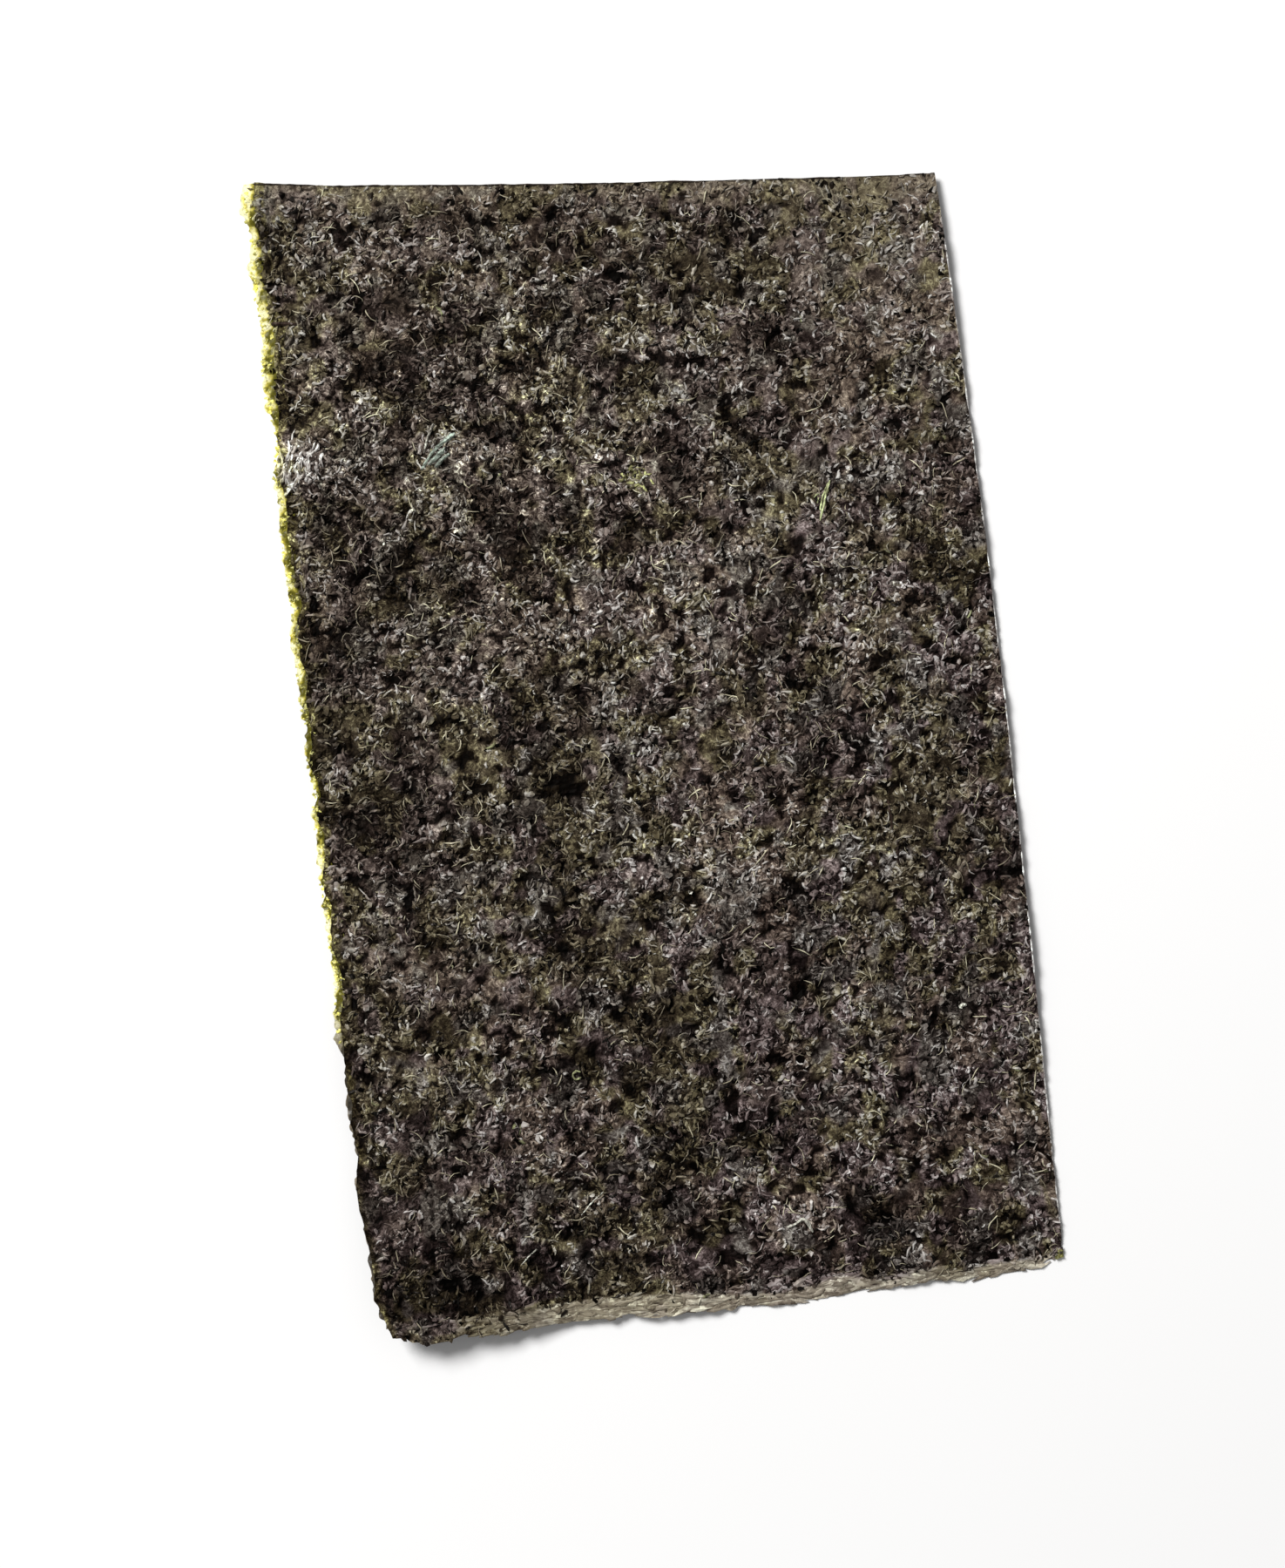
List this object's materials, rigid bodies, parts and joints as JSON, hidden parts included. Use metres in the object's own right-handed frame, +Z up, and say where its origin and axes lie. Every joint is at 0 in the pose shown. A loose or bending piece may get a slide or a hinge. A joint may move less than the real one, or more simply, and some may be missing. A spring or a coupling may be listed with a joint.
{
  "type": "nori sheet",
  "caption": "Thin wavy rectangle of dried laver with two knife-cut sides, two ragged deckle edges and a curled corner",
  "frame": {"origin": "middle of the sheet's box, on the surface it rests on", "axes": "+X across the sheet towards its right cut side, +Y along its long side towards the oblique cut end, +Z up out of the rough face"},
  "size_m": [0.0654, 0.1092, 0.0033],
  "materials": {
    "dried_nori": "near-black olive-brown, crumpled, with a broken waxy shine"
  },
  "bodies": {
    "root": {"nori_sheet": "dried_nori"}
  },
  "joints": []
}
